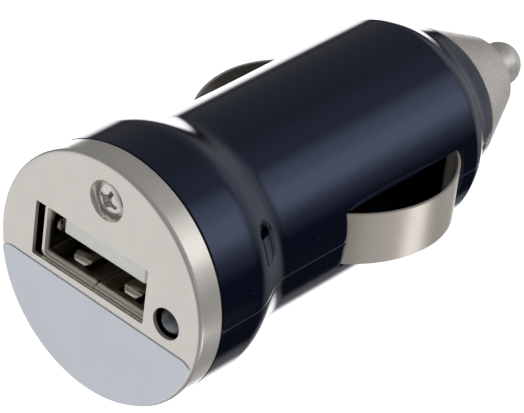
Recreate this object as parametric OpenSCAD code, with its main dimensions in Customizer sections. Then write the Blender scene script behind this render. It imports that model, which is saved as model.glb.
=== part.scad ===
// Car charger plug with one USB port, lying on its side as when laid on a table.
// The plug's axis runs along +X from the face to the sprung tip, +Z is the screw side.
// Profiles are drawn as (distance from the face, radius) and turned about that axis.

/* [Face cap] */
// Radius of the metal face cap and of the plastic head behind it
cap_r = 12.2; // [11.8:0.1:13]
// Depth of the cap's side wall, from the face back
cap_depth = 2.75; // [2.4:0.05:3.6]
// Thickness of the cap's front wall
cap_front = 0.4; // [0.3:0.05:0.5]
// Thickness of the cap's side wall
cap_side = 0.5; // [0.4:0.05:0.6]
// Radius of the rounding round the face
cap_round = 0.45; // [0.2:0.05:0.6]
// Height of the screw above the axis
screw_z = 8.5; // [8.2:0.1:8.8]
// Radius of the mouth of the screw's dimple
dimple_r = 2.0; // [1.8:0.05:2.3]
// Thickness of the rating label
label_t = 0.12; // [0.08:0.01:0.2]
// Depth of the label's straight edge below the axis
label_drop = 2.4; // [1.9:0.05:2.6]
// Angle by which the label is stuck on crooked
label_turn = 1.15; // [0:0.05:3]

/* [Body] */
// Distance from the face to where the head starts to taper
head_end = 7.3; // [6.6:0.1:8]
// Distance from the face to where the taper meets the barrel
neck_end = 12.9; // [12.4:0.1:13.4]
// Radius of the barrel that enters the car's socket
barrel_r = 10.2; // [10.1:0.05:10.4]
// Distance from the face to the barrel's shoulder
barrel_end = 39.7; // [39.3:0.1:40.4]
// Distance from the face to the seat of the nose ring
nose_seat = 45.4; // [45:0.1:47]
// Thickness of the body's wall
wall = 1.3; // [1.1:0.05:1.4]

/* [Ground clips] */
// Distance from the face to the front end of the clip's slot
slot_start = 21.45; // [21.3:0.05:21.5]
// Length of the clip's slot
slot_len = 16.4; // [16.2:0.05:17]
// Width of the clip's slot
slot_w = 6.1; // [6:0.05:6.8]
// Width of the spring strip
strip_w = 5.5; // [5:0.1:5.7]
// Thickness of the spring strip
strip_t = 0.3; // [0.2:0.05:0.4]
// Radius that the top of the bow reaches from the axis
bow_crest = 13.15; // [12.9:0.05:13.3]
// Outer bend radius of the bow's long front part
bow_front_r = 12; // [11.8:0.05:12.2]
// Outer bend radius of the bow's rear part
bow_back_r = 9.4; // [9.2:0.05:9.6]

/* [Nose] */
// Largest radius of the nose ring
ring_r = 7.2; // [6.9:0.05:7.5]
// Radius of the nose ring's small end
ring_tip_r = 4.1; // [4:0.05:4.4]
// Length of the nose ring
ring_len = 6.6; // [6.2:0.1:7.2]
// Radius of the sprung tip
pin_r = 2.25; // [2:0.05:2.5]
// Length of the tip that stands out of the ring
pin_reach = 5.15; // [4.6:0.05:5.6]
// Wire thickness of the tip's spring
wire_d = 0.45; // [0.35:0.05:0.5]

/* [USB port] */
// Sideways place of the port's centre
port_y = 0.9; // [0.7:0.1:1.1]
// Height of the port's centre above the axis
port_z = 1.2; // [1:0.05:1.3]
// Outer width of the port's metal shell
port_w = 13.1; // [12.9:0.05:13.2]
// Outer height of the port's metal shell
port_h = 5.7; // [5.5:0.05:5.75]
// Length of the port's metal shell
port_len = 13.5; // [13:0.1:13.6]
// Sheet thickness of the port's shell
sheet = 0.3; // [0.2:0.05:0.35]

/* [Circuit board] */
// Thickness of the circuit board
board_t = 1.2; // [1:0.1:1.6]
// Width of the board's middle part, behind the port
board_w = 15.8; // [15:0.1:16]
// Width of the board between the clips
board_mid_w = 9.6; // [9:0.1:10]
// Width of the board's tail under the spring
board_tail_w = 2.8; // [2.6:0.1:3]

/* [Hidden] */

round_fn = 96;
small_fn = 48;
// Larger than anything here, for cutting and keeping halves
big = 80;
// Hair's breadth between faces that meet, and the depth by which a cut runs past a face
gap = 0.05;
past = 0.2;
// How far a run of bent sheet laps into the next, along it and as an angle
lap = 0.06;
lap_a = 0.35;

// Where things end along the axis
tip_x = nose_seat + ring_len + pin_reach;
slot_end = slot_start + slot_len;
ring_end = nose_seat + ring_len;
mid_x = (tip_x - label_t) / 2;

// Body
spigot_r = cap_r - cap_side - gap;
inner_r = barrel_r - wall;
// The barrel is straight up to here, then tapers a little for the mould
guide_end = slot_start - 0.5;
tail_r = barrel_r - 0.1;
head_inner_r = cap_r - wall - 0.3;
mouth_y = port_y + 0.3;
shoulder_r = 5.3;
shoulder_a = 14;
shoulder_len = 2.8;
nose_r = ring_r + 0.15;
collar_r = nose_r + 1;
nose_wall_x = nose_seat - 3.4;
nose_spigot_r = 4.9;
nose_spigot_len = 3.2;
chamber_r = 3.5;

// Clips
bow_x = slot_start + 8.55;
bow_front_a = 44;
bow_back_a = 50;
foot_bend_r = 0.8;
foot_x = bow_x - (bow_front_r - foot_bend_r) * sin(bow_front_a);
foot_y = bow_crest - bow_front_r + (bow_front_r - foot_bend_r) * cos(bow_front_a);
foot_end = 6.6;
tail_bend_r = 1;
tail_a = 80;
tail_len = 0.65;
lip_bend_r = 0.4;
lip_a = 10;
lip_len = 0.9;
post_y = 5.2;

// Port
port_front = cap_front + 0.1;
port_back = port_front + port_len;
port_in_w = port_w - 2 * sheet;
port_in_h = port_h - 2 * sheet;
mouth_w = port_w + 0.4;
mouth_h = port_h - 0.1;
mouth_z = port_z + 0.15;
tongue_t = 1.84;
tongue_w = port_in_w - 1.4;
tongue_front = port_front + 1;
tongue_taper = 0.7;
block_front = port_back - 2.6;
contact_w = 1;
contact_t = 0.25;
contact_y = [-3.5, -1, 1, 3.5];
contact_leg_x = port_back + 0.35;

// Board
board_top = port_z - port_h / 2;
board_bottom = board_top - board_t;
board_front = port_front + 1.6;
head_board_w = 2 * (cap_r - 2.7);
head_board_end = head_end + 1.3;
step_x = foot_x - foot_bend_r - 0.2;
board_mid_end = slot_end - 4.7;
board_end = nose_wall_x - 1.6;
input_x = 16.8;
input_len = 10.5;
input_y = -1;
output_x = 25;
output_len = 8;
can_r = 2.5;
can_pitch = 2;
can_lead_w = 0.5;
can_lead_back = 0.85;
choke_r = 3.3;
choke_x = input_x + input_len + 0.3 + choke_r;
choke_y = -0.6;
choke_h = 4.7;
choke_flange = 0.7;
diode_x = choke_x + choke_r + 0.2;
solder_stub = 0.6;
chip_len = 2;
chip_w = 1.25;
chip_x1 = contact_leg_x + 0.55;
chip_x2 = chip_x1 + chip_len + 0.5;
chip_far = board_w / 2 - 2.3;
chip_near = chip_far - chip_w - 0.65;

// Status light
led_y = 4 - cap_r;
led_hole_r = 1.55;
led_r = 1.45;
led_recess = 0.25;
led_len = 5;
led_foot_r = 1.58;
led_lead = 0.5;
led_pitch = 1.27;
led_lead_x = led_recess + led_len + 2 - led_lead / 2;

// Screw
screw_head_r = 1.55;
screw_head_h = 0.7;
screw_thread_r = 1;
screw_len = 7;
boss_r = 2;
dimple_floor = cap_front + 0.5;
dimple_back = dimple_floor + cap_front;

// Label
label_r = cap_r - 0.25;
label_corner = 1.6;
label_side = cap_r - 0.2;

// Snap hooks at the neck
hook_x = 9.3;
hook_w = 2.05;
hook_in_r = 9;
hook_out_r = 9.75;
tooth_low = 18;
tooth_high = 31;
window_high = 36;
tooth_r = 10.75;

// Nose
ring_wall = 1.1;
pin_fit = 0.08;
pin_flange_r = 3.2;
pin_flange_t = 1.05;
pin_boss_r = 1.7;
pin_boss_len = 1.5;
pin_seat = ring_end - ring_wall - gap;
coil_r = 2.35;
coil_turns = 6;
coil_steps = 18;
wire_sides = 8;
terminal_r = 3;
terminal_t = 0.9;

// Lifts the axis so that the head's lowest line lies on z = 0, with x = 0 at mid length
module placed() {
    translate([-mid_x, 0, cap_r]) children();
}

// Turns a profile of (distance, radius) about the plug's axis
module turned(fn = round_fn) {
    rotate([0, 90, 0])
        rotate_extrude($fn = fn)
            rotate(90)
                mirror([0, 1])
                    children();
}

// A rod of radius r along the axis between two stations
module rod(x0, x1, r, fn = small_fn) {
    translate([x0, 0, 0]) rotate([0, 90, 0]) cylinder(h = x1 - x0, r = r, $fn = fn);
}

// A box between two stations, centred sideways and in height on the given point
module block(x0, x1, w, h, y = 0, z = 0) {
    translate([x0, y - w / 2, z - h / 2]) cube([x1 - x0, w, h]);
}

// A box given by its lowest and highest corners
module span(low, high) {
    translate(low) cube(high - low);
}

// A plate with rounded corners that stands square to the axis
module rounded_bar(x0, x1, w, h, r, y = 0, z = 0) {
    translate([x0, y, z])
        rotate([90, 0, 90])
            linear_extrude(x1 - x0) {
                square([w - 2 * r, h], center = true);
                square([w, h - 2 * r], center = true);
                for (sy = [-1, 1], sz = [-1, 1])
                    translate([sy * (w / 2 - r), sz * (h / 2 - r)]) circle(r, $fn = 24);
            }
}

// Part of a ring of sheet, from angle a0 to a1, both measured from straight up
module bend(centre, r_out, t, a0, a1) {
    reach = 4 * r_out;
    mid = (a0 + a1) / 2;
    translate(centre)
        intersection() {
            difference() {
                circle(r_out, $fn = round_fn);
                circle(r_out - t, $fn = round_fn);
            }
            polygon([[0, 0], [reach * sin(a0), reach * cos(a0)],
                     [reach * sin(mid), reach * cos(mid)], [reach * sin(a1), reach * cos(a1)]]);
        }
}

// A straight run of sheet whose outer face starts at p and heads down at angle a
module run(p, a, len, t) {
    translate(p) rotate(-a) translate([-lap, -t]) square([len + 2 * lap, t]);
}

// Face cap: drawn metal cup with the port's mouth, the light's hole and the screw's dimple
module cap_profile() {
    in_r = cap_r - cap_side;
    difference() {
        union() {
            translate([cap_round, 0]) square([cap_depth - cap_round, cap_r]);
            square([cap_round + past, cap_r - cap_round]);
            translate([cap_round, cap_r - cap_round]) circle(cap_round, $fn = small_fn);
        }
        translate([cap_front, -past]) square([cap_depth, in_r + past]);
        translate([-big, -big]) square([2 * big, big]);
    }
}

module face_cap() {
    color([0.80, 0.78, 0.75])
    difference() {
        union() {
            turned() cap_profile();
            translate([0, 0, screw_z]) rod(cap_front - past, dimple_back, dimple_r + cap_front);
        }
        rounded_bar(-past, cap_front + past, mouth_w, mouth_h, 0.4, mouth_y, mouth_z);
        translate([0, led_y, 0]) rod(-past, cap_front + past, led_hole_r);
        translate([0, 0, screw_z])
            rotate([0, 90, 0])
                cylinder(h = dimple_floor, r1 = dimple_r, r2 = screw_head_r + 0.15, $fn = small_fn);
        translate([0, 0, screw_z]) rod(-past, dimple_back + past, screw_thread_r + 0.1);
    }
}

// Screw with a pan head and a cross recess
module cap_screw() {
    head_top = dimple_floor - screw_head_h;
    color([0.75, 0.74, 0.72])
    translate([0, 0, screw_z])
    difference() {
        union() {
            turned(small_fn)
                intersection() {
                    translate([head_top, 0]) square([screw_head_h, screw_head_r]);
                    translate([head_top + 3.2, 0]) circle(3.2, $fn = round_fn);
                }
            rod(dimple_floor - gap, dimple_floor + screw_len - 1, screw_thread_r);
            translate([dimple_floor + screw_len - 1, 0, 0])
                rotate([0, 90, 0]) cylinder(h = 1, r1 = screw_thread_r, r2 = 0.3, $fn = small_fn);
        }
        for (turn = [20, 110])
            rotate([turn, 0, 0]) block(head_top - past, head_top + 0.55, 0.36, 1.9);
    }
}

// Rating label: a segment of a circle with rounded ends, stuck on the face
module label_outline() {
    inner_y = label_side - label_corner;
    intersection() {
        circle(label_r, $fn = round_fn);
        union() {
            translate([-inner_y, -2 * cap_r]) square([2 * inner_y, 2 * cap_r - label_drop]);
            translate([-label_side, -2 * cap_r])
                square([2 * label_side, 2 * cap_r - label_drop - label_corner]);
            for (side = [-1, 1])
                translate([side * inner_y, -label_drop - label_corner])
                    circle(label_corner, $fn = small_fn);
        }
    }
}

module rating_label() {
    color([0.82, 0.85, 0.89])
    rotate([label_turn, 0, 0])
        translate([-label_t, 0, 0]) rotate([90, 0, 90]) linear_extrude(label_t) label_outline();
}

// Status light: domed lens on a foot, with two leads bent down into the board
module status_led() {
    back = led_recess + led_len;
    color([0.25, 0.27, 0.30])
    translate([0, led_y, 0]) {
        translate([led_recess + led_r, 0, 0]) sphere(led_r, $fn = small_fn);
        rod(led_recess + led_r, back, led_r);
        rod(back - 1, back, led_foot_r);
        for (side = [-1, 1]) {
            y = side * led_pitch / 2;
            block(back - gap, back + 2, led_lead, led_lead, y);
            span([back + 2 - led_lead, y - led_lead / 2, board_bottom - solder_stub],
                 [back + 2, y + led_lead / 2, led_lead / 2]);
        }
    }
}

// Port shell: folded sheet with a joint below, stamped springs, a rolled lip and four legs
module usb_shell() {
    spring_x = port_front + 1;
    spring_len = 5;
    spring_w = 2.1;
    slit = 0.35;
    window_len = spring_len + 0.4;
    color([0.78, 0.75, 0.70])
    difference() {
        union() {
            difference() {
                rounded_bar(port_front, port_back, port_w, port_h, 0.6, port_y, port_z);
                rounded_bar(port_front - past, port_back + past, port_in_w, port_in_h, 0.35,
                            port_y, port_z);
                for (side = [-1, 1], level = [-1, 1])
                    block(spring_x, spring_x + window_len, spring_w + 2 * slit, 2 * sheet + 0.1,
                          port_y + side * 3.1, port_z + level * (port_h - sheet) / 2);
                for (side = [-1, 1])
                    block(spring_x, spring_x + window_len, 2 * sheet + 0.1, 2.4,
                          port_y + side * (port_w - sheet) / 2, port_z);
            }
            for (side = [-1, 1], level = [-1, 1])
                translate([0, port_y + side * 3.1, port_z])
                    mirror([0, 0, level < 0 ? 1 : 0])
                        shell_spring(spring_x + 0.3, spring_len, spring_w, port_h / 2);
            for (side = [-1, 1])
                translate([0, port_y, port_z])
                    rotate([side * 90, 0, 0])
                        shell_spring(spring_x + 0.3, spring_len, 1.5, port_w / 2);
            for (side = [-1, 1], x = [port_front + 4.2, port_back - 3.4])
                span([x, port_y + side * (port_w - sheet) / 2 - sheet / 2,
                      board_bottom - solder_stub],
                     [x + 1.2, port_y + side * (port_w - sheet) / 2 + sheet / 2,
                      board_top + 1.2]);
        }
        block(port_front - past, port_back + past, 0.12, 2 * sheet, port_y, port_z - port_h / 2);
    }
}

// A tongue of the shell's own sheet that leans inwards and ends in a rounded tip
module shell_spring(x, len, w, face) {
    lean = 0.5;
    back = x + len + 1;
    rise = atan2(lean, len);
    translate([back, 0, face - sheet])
        rotate([0, -rise, 0])
            translate([-len - 1, 0, 0])
                linear_extrude(sheet) {
                    translate([w / 2, -w / 2]) square([len + 1 - w / 2, w]);
                    translate([w / 2, 0]) circle(w / 2, $fn = 24);
                }
}

// Port insulator: rear block and the tongue that carries the contacts, with its grooves
module usb_insulator() {
    tongue_low = port_z;
    color([0.80, 0.82, 0.79])
    difference() {
        union() {
            rounded_bar(block_front, port_back - gap, port_in_w - 0.1, port_in_h - 0.1, 0.35,
                        port_y, port_z);
            translate([0, port_y, tongue_low])
                linear_extrude(tongue_t)
                    polygon([[tongue_front, -tongue_w / 2 + tongue_taper],
                             [tongue_front + tongue_taper, -tongue_w / 2],
                             [block_front + past, -tongue_w / 2],
                             [block_front + past, tongue_w / 2],
                             [tongue_front + tongue_taper, tongue_w / 2],
                             [tongue_front, tongue_w / 2 - tongue_taper]]);
        }
        for (y = contact_y)
            span([tongue_front + 1, port_y + y - contact_w / 2 - 0.1, tongue_low - past],
                 [port_back + past, port_y + y + contact_w / 2 + 0.1, tongue_low + 0.6]);
    }
}

// Port contacts: four blades bowed out of the tongue's grooves, with legs into the board
module usb_contacts() {
    low = port_z + 0.2;
    start = tongue_front + 1.25;
    bow_out = 0.45;
    bow_bend_r = 1.9;
    bow_mid = start + 2.2;
    half = 1;
    color([0.85, 0.72, 0.35])
    for (y = contact_y)
        translate([0, port_y + y + contact_w / 2, 0])
            rotate([90, 0, 0])
                linear_extrude(contact_w) {
                    translate([start, low]) square([bow_mid - half - start, contact_t]);
                    bend([bow_mid, low + bow_bend_r - bow_out], bow_bend_r, contact_t, 138, 222);
                    translate([bow_mid + half, low])
                        square([contact_leg_x - bow_mid - half, contact_t]);
                    translate([contact_leg_x - contact_t, board_bottom - solder_stub])
                        square([contact_t, low - board_bottom + solder_stub + contact_t]);
                }
}

// Circuit board: wide head under the port, stepped in between the clips, narrow tail
module board_outline() {
    translate([board_front, -head_board_w / 2]) square([head_board_end - board_front, head_board_w]);
    translate([board_front, -board_w / 2]) square([step_x - board_front, board_w]);
    translate([step_x - past, -board_mid_w / 2])
        square([board_mid_end - step_x + past, board_mid_w]);
    translate([board_mid_end - past, -board_tail_w / 2])
        square([board_end - board_mid_end + past, board_tail_w]);
}

module board_hole(x, y, r) {
    translate([x, y, board_bottom - past]) cylinder(h = board_t + 2 * past, r = r, $fn = 24);
}

module circuit_board() {
    color([0.16, 0.38, 0.20])
    difference() {
        translate([0, 0, board_bottom]) linear_extrude(board_t) board_outline();
        for (side = [-1, 1])
            board_hole(led_lead_x, led_y + side * led_pitch / 2, 0.42);
        for (side = [-1, 1], place = [[input_x, input_y], [output_x, 0]])
            board_hole(place.x - can_lead_back, place.y + side * can_pitch / 2, 0.45);
        for (y = contact_y)
            board_hole(contact_leg_x - contact_t / 2, port_y + y, 0.6);
        for (side = [-1, 1], x = [port_front + 4.2, port_back - 3.4])
            span([x - 0.15, port_y + side * (port_w - sheet) / 2 - sheet / 2 - 0.15,
                  board_bottom - past],
                 [x + 1.35, port_y + side * (port_w - sheet) / 2 + sheet / 2 + 0.15,
                  board_top + past]);
    }
}

// Regulator chip: moulded body with eight gull-wing legs
module regulator_chip() {
    chip_x = step_x - 3.4;
    body_h = 1.45;
    color([0.10, 0.10, 0.11]) {
        span([chip_x, -1.95, board_top + 0.1], [chip_x + 4.9, 1.95, board_top + body_h]);
        for (i = [0:3], side = [-1, 1])
            translate([chip_x + 0.54 + 1.27 * i, 0, board_top])
                mirror([0, side < 0 ? 1 : 0, 0])
                    rotate([90, 0, 90])
                        linear_extrude(0.42) {
                            translate([1.9, 0.6]) square([0.6, 0.2]);
                            translate([2.3, 0]) square([0.2, 0.8]);
                            translate([2.3, 0]) square([0.7, 0.2]);
                        }
    }
}

// Choke: drum core under the board and the wire wound in its waist
module choke_core() {
    color([0.22, 0.22, 0.23])
    translate([choke_x, choke_y, board_bottom - choke_h]) {
        cylinder(h = choke_h, r = 1.5, $fn = small_fn);
        cylinder(h = choke_flange, r = choke_r, $fn = small_fn);
        translate([0, 0, choke_h - choke_flange])
            cylinder(h = choke_flange, r = choke_r, $fn = small_fn);
    }
}

module choke_winding() {
    color([0.72, 0.38, 0.18])
    translate([choke_x, choke_y, board_bottom - choke_h + choke_flange])
        rotate_extrude($fn = small_fn)
            difference() {
                translate([1.5, 0]) square([1.5, choke_h - 2 * choke_flange]);
                for (turn = [0:6])
                    translate([3.06, (turn + 0.5) * (choke_h - 2 * choke_flange) / 7])
                        rotate(45) square([0.15, 0.15], center = true);
            }
}

// Electrolytic capacitor: can with a rolled groove at its base and two leads
module can(len, r) {
    turned(small_fn)
        difference() {
            square([len, r]);
            translate([1.2, r + 0.15]) circle(0.4, $fn = 24);
            translate([len, r]) rotate(45) square([0.4, 0.4], center = true);
        }
}

module can_lead(side, drop) {
    y = side * can_pitch / 2;
    half = can_lead_w / 2;
    span([-can_lead_back - half, y - half, -half], [gap, y + half, half]);
    span([-can_lead_back - half, y - half, min(drop, -half)],
         [-can_lead_back + half, y + half, max(drop, half)]);
}

module input_capacitor() {
    color([0.10, 0.12, 0.20])
    translate([input_x, input_y, board_bottom - can_r - gap]) {
        can(input_len, can_r);
        for (side = [-1, 1]) can_lead(side, can_r + gap + board_t / 2);
    }
}

module output_capacitor() {
    color([0.10, 0.12, 0.20])
    translate([output_x, 0, board_top + can_r + gap]) {
        can(output_len, can_r);
        for (side = [-1, 1]) can_lead(side, -can_r - gap - board_t / 2);
    }
}

// Rectifier diode: moulded body with folded end tabs, under the board
module rectifier_diode() {
    color([0.12, 0.12, 0.13]) {
        span([diode_x + 0.35, -1.3, board_bottom - 2.2], [diode_x + 4.35, 1.3, board_bottom - 0.1]);
        for (x = [diode_x, diode_x + 4.1])
            span([x, -0.75, board_bottom - 1.2], [x + 0.6, 0.75, board_bottom]);
    }
}

// Chip resistors and chip capacitors beside the regulator
module chip_resistors() {
    color([0.15, 0.15, 0.17])
    for (place = [[chip_x1, -chip_far], [chip_x1, -chip_near], [chip_x2, chip_far - 0.2]])
        span([place.x, place.y, board_top], [place.x + chip_len, place.y + chip_w, board_top + 0.5]);
}

module chip_capacitors() {
    color([0.62, 0.50, 0.36])
    for (place = [[chip_x2, -chip_far], [chip_x2, chip_near - 0.2]])
        span([place.x, place.y, board_top], [place.x + chip_len, place.y + chip_w, board_top + 1]);
}

// Spring terminal: brass cup clipped over the board's tail
module spring_terminal() {
    cup_x = board_end;
    color([0.80, 0.65, 0.32]) {
        difference() {
            rod(cup_x, cup_x + terminal_t, terminal_r);
            rod(cup_x + 0.3, cup_x + terminal_t + past, coil_r + wire_d / 2 + 0.1);
        }
        for (z = [board_bottom - 0.25, board_top])
            span([cup_x - 1.3, -1.2, z], [cup_x + gap, 1.2, z + 0.25]);
    }
}

// Body profiles: the outer skin and the hollow, as (distance, radius)
module body_skin() {
    collar_x = barrel_end + shoulder_len;
    translate([cap_front + gap, 0]) square([cap_depth, spigot_r]);
    polygon([[cap_depth + gap, 0], [cap_depth + gap, cap_r], [head_end, cap_r],
             [head_end + 0.6, cap_r - 0.12], [neck_end - 0.5, barrel_r + 0.2],
             [neck_end, barrel_r], [guide_end, barrel_r], [barrel_end, tail_r], [barrel_end, 0]]);
    intersection() {
        translate([barrel_end - shoulder_r * sin(shoulder_a), tail_r - shoulder_r * cos(shoulder_a)])
            circle(shoulder_r, $fn = round_fn);
        translate([barrel_end - past, 0]) square([shoulder_len + past, tail_r]);
    }
    polygon([[barrel_end - past, 0], [barrel_end - past, collar_r], [collar_x, collar_r],
             [nose_seat, nose_r], [nose_seat, 0]]);
    translate([nose_seat - past, 0]) square([nose_spigot_len + past, nose_spigot_r]);
}

module body_hollow() {
    polygon([[-past, 0], [-past, spigot_r - wall], [cap_depth, spigot_r - wall],
             [cap_depth, head_inner_r], [head_end - 0.2, head_inner_r],
             [neck_end - 0.2, inner_r], [barrel_end - 1.2, inner_r],
             [nose_wall_x, inner_r - 2], [nose_wall_x, chamber_r],
             [nose_seat + nose_spigot_len + past, chamber_r],
             [nose_seat + nose_spigot_len + past, 0]]);
}

module clip_slots() {
    for (side = [-1, 1]) {
        span([slot_start, side > 0 ? 0.5 * inner_r : -big, -slot_w / 2],
             [slot_end, side > 0 ? big : -0.5 * inner_r, slot_w / 2]);
        block(slot_start - 1.2, slot_start + past, 2, slot_w, side * (inner_r - 0.2));
    }
}

module shell_half(upper) {
    difference() {
        intersection() {
            turned() body_skin();
            translate([-big, -big, upper ? 0 : -2 * big]) cube([3 * big, 2 * big, 2 * big]);
        }
        turned() body_hollow();
        clip_slots();
    }
}

// A slice of a tube about the axis, from angle low to high above the seam, on one side
module side_arc(x0, x1, r_in, r_out, low, high, side) {
    mirror([0, side < 0 ? 1 : 0, 0])
        intersection() {
            difference() {
                rod(x0, x1, r_out, round_fn);
                rod(x0 - past, x1 + past, r_in, round_fn);
            }
            translate([x0 - past, 0, 0])
                rotate([90, 0, 90])
                    linear_extrude(x1 - x0 + 2 * past)
                        polygon([[0, 0], [big * cos(low), big * sin(low)],
                                 [big * cos(high), big * sin(high)]]);
        }
}

// Upper half of the body, with the screw's boss, the hooks' windows and the board's posts
module body_upper() {
    boss_front = dimple_back + gap;
    color([0.11, 0.13, 0.20])
    difference() {
        union() {
            shell_half(true);
            intersection() {
                union() {
                    translate([0, 0, screw_z]) rod(boss_front, boss_front + screw_len, boss_r);
                    block(boss_front, boss_front + screw_len, 1.2, 3, 0, screw_z + 2.4);
                }
                turned() body_skin();
            }
            for (side = [-1, 1])
                span([step_x - 2.6, side > 0 ? 6.9 : -8, board_top + gap],
                     [step_x - 1.2, side > 0 ? 8 : -6.9, 4.4]);
        }
        translate([0, 0, screw_z]) {
            rod(boss_front - past, boss_front + screw_len - 0.6, screw_thread_r - 0.1);
            rod(-past, boss_front, boss_r + 1.1);
        }
        for (side = [-1, 1]) {
            side_arc(hook_x - 0.1, hook_x + hook_w + 0.1, hook_in_r - 1, hook_out_r + 0.1,
                     -1, window_high + 2, side);
            side_arc(hook_x - 0.1, hook_x + hook_w + 0.1, hook_in_r, cap_r,
                     tooth_low - 0.5, window_high, side);
        }
    }
}

// Lower half of the body, with the hooks that rise into the windows and the board's ledges
module body_lower() {
    color([0.11, 0.13, 0.20]) {
        shell_half(false);
        for (side = [-1, 1]) {
            side_arc(hook_x, hook_x + hook_w, hook_in_r, hook_out_r, -14, tooth_high, side);
            side_arc(hook_x, hook_x + hook_w, hook_out_r - past, tooth_r, tooth_low, tooth_high, side);
            side_arc(hook_x, hook_x + hook_w, hook_in_r, hook_out_r + 0.6, -14, -0.2, side);
            intersection() {
                union() {
                    span([neck_end + 0.3, side > 0 ? 6.4 : -9, -6.2],
                         [step_x - 1, side > 0 ? 9 : -6.4, board_bottom - gap]);
                    mirror([0, side < 0 ? 1 : 0, 0])
                        span([foot_x - foot_bend_r + strip_t + 0.15, post_y, -inner_r],
                             [foot_x - foot_bend_r + strip_t + 1.15, foot_end + 0.4, -gap]);
                }
                turned() body_skin();
            }
        }
    }
}

// Ground clip: one bowed strip, foot tucked under the slot's front end, lip under its rear end
module clip_profile() {
    front_y = bow_crest - bow_front_r;
    back_y = bow_crest - bow_back_r;
    tail_x = bow_x + (bow_back_r - tail_bend_r) * sin(bow_back_a);
    tail_y = back_y + (bow_back_r - tail_bend_r) * cos(bow_back_a);
    run_x = tail_x + tail_bend_r * sin(tail_a);
    run_y = tail_y + tail_bend_r * cos(tail_a);
    hook_cx = run_x + tail_len * cos(tail_a) + lip_bend_r * sin(tail_a);
    hook_cy = run_y - tail_len * sin(tail_a) + lip_bend_r * cos(tail_a);
    translate([foot_x - foot_bend_r, foot_end]) square([strip_t, foot_y - foot_end]);
    bend([foot_x, foot_y], foot_bend_r, strip_t, -90, -bow_front_a);
    bend([bow_x, front_y], bow_front_r, strip_t, -bow_front_a - lap_a, 0);
    bend([bow_x, back_y], bow_back_r, strip_t, -lap_a, bow_back_a + lap_a);
    bend([tail_x, tail_y], tail_bend_r, strip_t, bow_back_a, tail_a);
    run([run_x, run_y], tail_a, tail_len, strip_t);
    bend([hook_cx, hook_cy], lip_bend_r + strip_t, strip_t, 180 + lip_a, 180 + tail_a);
    run([hook_cx - lip_bend_r * sin(lip_a), hook_cy - lip_bend_r * cos(lip_a)], lip_a,
        lip_len, strip_t);
}

module ground_clip(side) {
    color([0.66, 0.63, 0.59])
    mirror([0, side < 0 ? 1 : 0, 0])
        translate([0, 0, -strip_w / 2])
            linear_extrude(strip_w) clip_profile();
}

module ground_clip_left() {
    ground_clip(1);
}

module ground_clip_right() {
    ground_clip(-1);
}

// Nose ring: turned metal cone that screws over the body's spigot and holds the tip in
module nose_ring() {
    bore_end = nose_seat + nose_spigot_len + 0.1;
    seat = nose_seat + gap;
    lip = 0.3;
    color([0.62, 0.60, 0.57])
    turned()
        difference() {
            polygon([[seat, 0], [seat, ring_r - 0.08], [seat + 0.08, ring_r], [seat + lip, ring_r],
                     [ring_end - 0.3, ring_tip_r], [ring_end, ring_tip_r - 0.3], [ring_end, 0]]);
            translate([seat - past, 0]) square([bore_end - seat + past, nose_spigot_r + gap]);
            translate([bore_end - past, 0])
                square([ring_end - ring_wall - bore_end + past, chamber_r]);
            square([ring_end + past, pin_r + pin_fit]);
        }
}

// Sprung tip: flanged pin with a domed end and a boss that centres the spring
module tip_pin() {
    color([0.70, 0.68, 0.64])
    turned(small_fn) {
        translate([pin_seat - pin_flange_t - pin_boss_len, 0])
            square([pin_boss_len + past, pin_boss_r]);
        translate([pin_seat - pin_flange_t, 0]) square([pin_flange_t, pin_flange_r]);
        translate([pin_seat - past, 0]) square([tip_x - pin_r - pin_seat + past, pin_r]);
        intersection() {
            translate([tip_x - pin_r, 0]) circle(pin_r, $fn = round_fn);
            translate([tip_x - pin_r - past, 0]) square([pin_r + 2 * past, pin_r + past]);
        }
    }
}

// Coil spring from the terminal to the tip's flange
function coil_point(a, x0, x1, turns) =
    [x0 + (x1 - x0) * a / (360 * turns), coil_r * cos(a), coil_r * sin(a)];

module tip_spring() {
    x0 = board_end + 0.3 + wire_d / 2 + gap;
    x1 = pin_seat - pin_flange_t - wire_d / 2 - gap;
    steps = coil_turns * coil_steps;
    points = [for (i = [0:steps], k = [0:wire_sides - 1])
        let (a = 360 * i / coil_steps, b = 360 * k / wire_sides,
             centre = coil_point(a, x0, x1, coil_turns), r = wire_d / 2)
        centre + [r * sin(b), r * cos(b) * cos(a), r * cos(b) * sin(a)]];
    sides = [for (i = [0:steps - 1], k = [0:wire_sides - 1])
        let (n = (k + 1) % wire_sides, p = i * wire_sides, q = p + wire_sides)
        [p + k, p + n, q + n, q + k]];
    ends = [[for (k = [wire_sides - 1:-1:0]) k],
            [for (k = [0:wire_sides - 1]) steps * wire_sides + k]];
    color([0.70, 0.70, 0.72])
    polyhedron(points = points, faces = concat(sides, ends), convexity = 8);
}

placed() face_cap();
placed() cap_screw();
placed() rating_label();
placed() status_led();
placed() usb_shell();
placed() usb_insulator();
placed() usb_contacts();
placed() circuit_board();
placed() regulator_chip();
placed() choke_core();
placed() choke_winding();
placed() input_capacitor();
placed() output_capacitor();
placed() rectifier_diode();
placed() chip_resistors();
placed() chip_capacitors();
placed() spring_terminal();
placed() body_upper();
placed() body_lower();
placed() ground_clip_left();
placed() ground_clip_right();
placed() nose_ring();
placed() tip_pin();
placed() tip_spring();
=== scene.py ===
"""Car charger plug with one USB port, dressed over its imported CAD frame."""
import math

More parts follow.
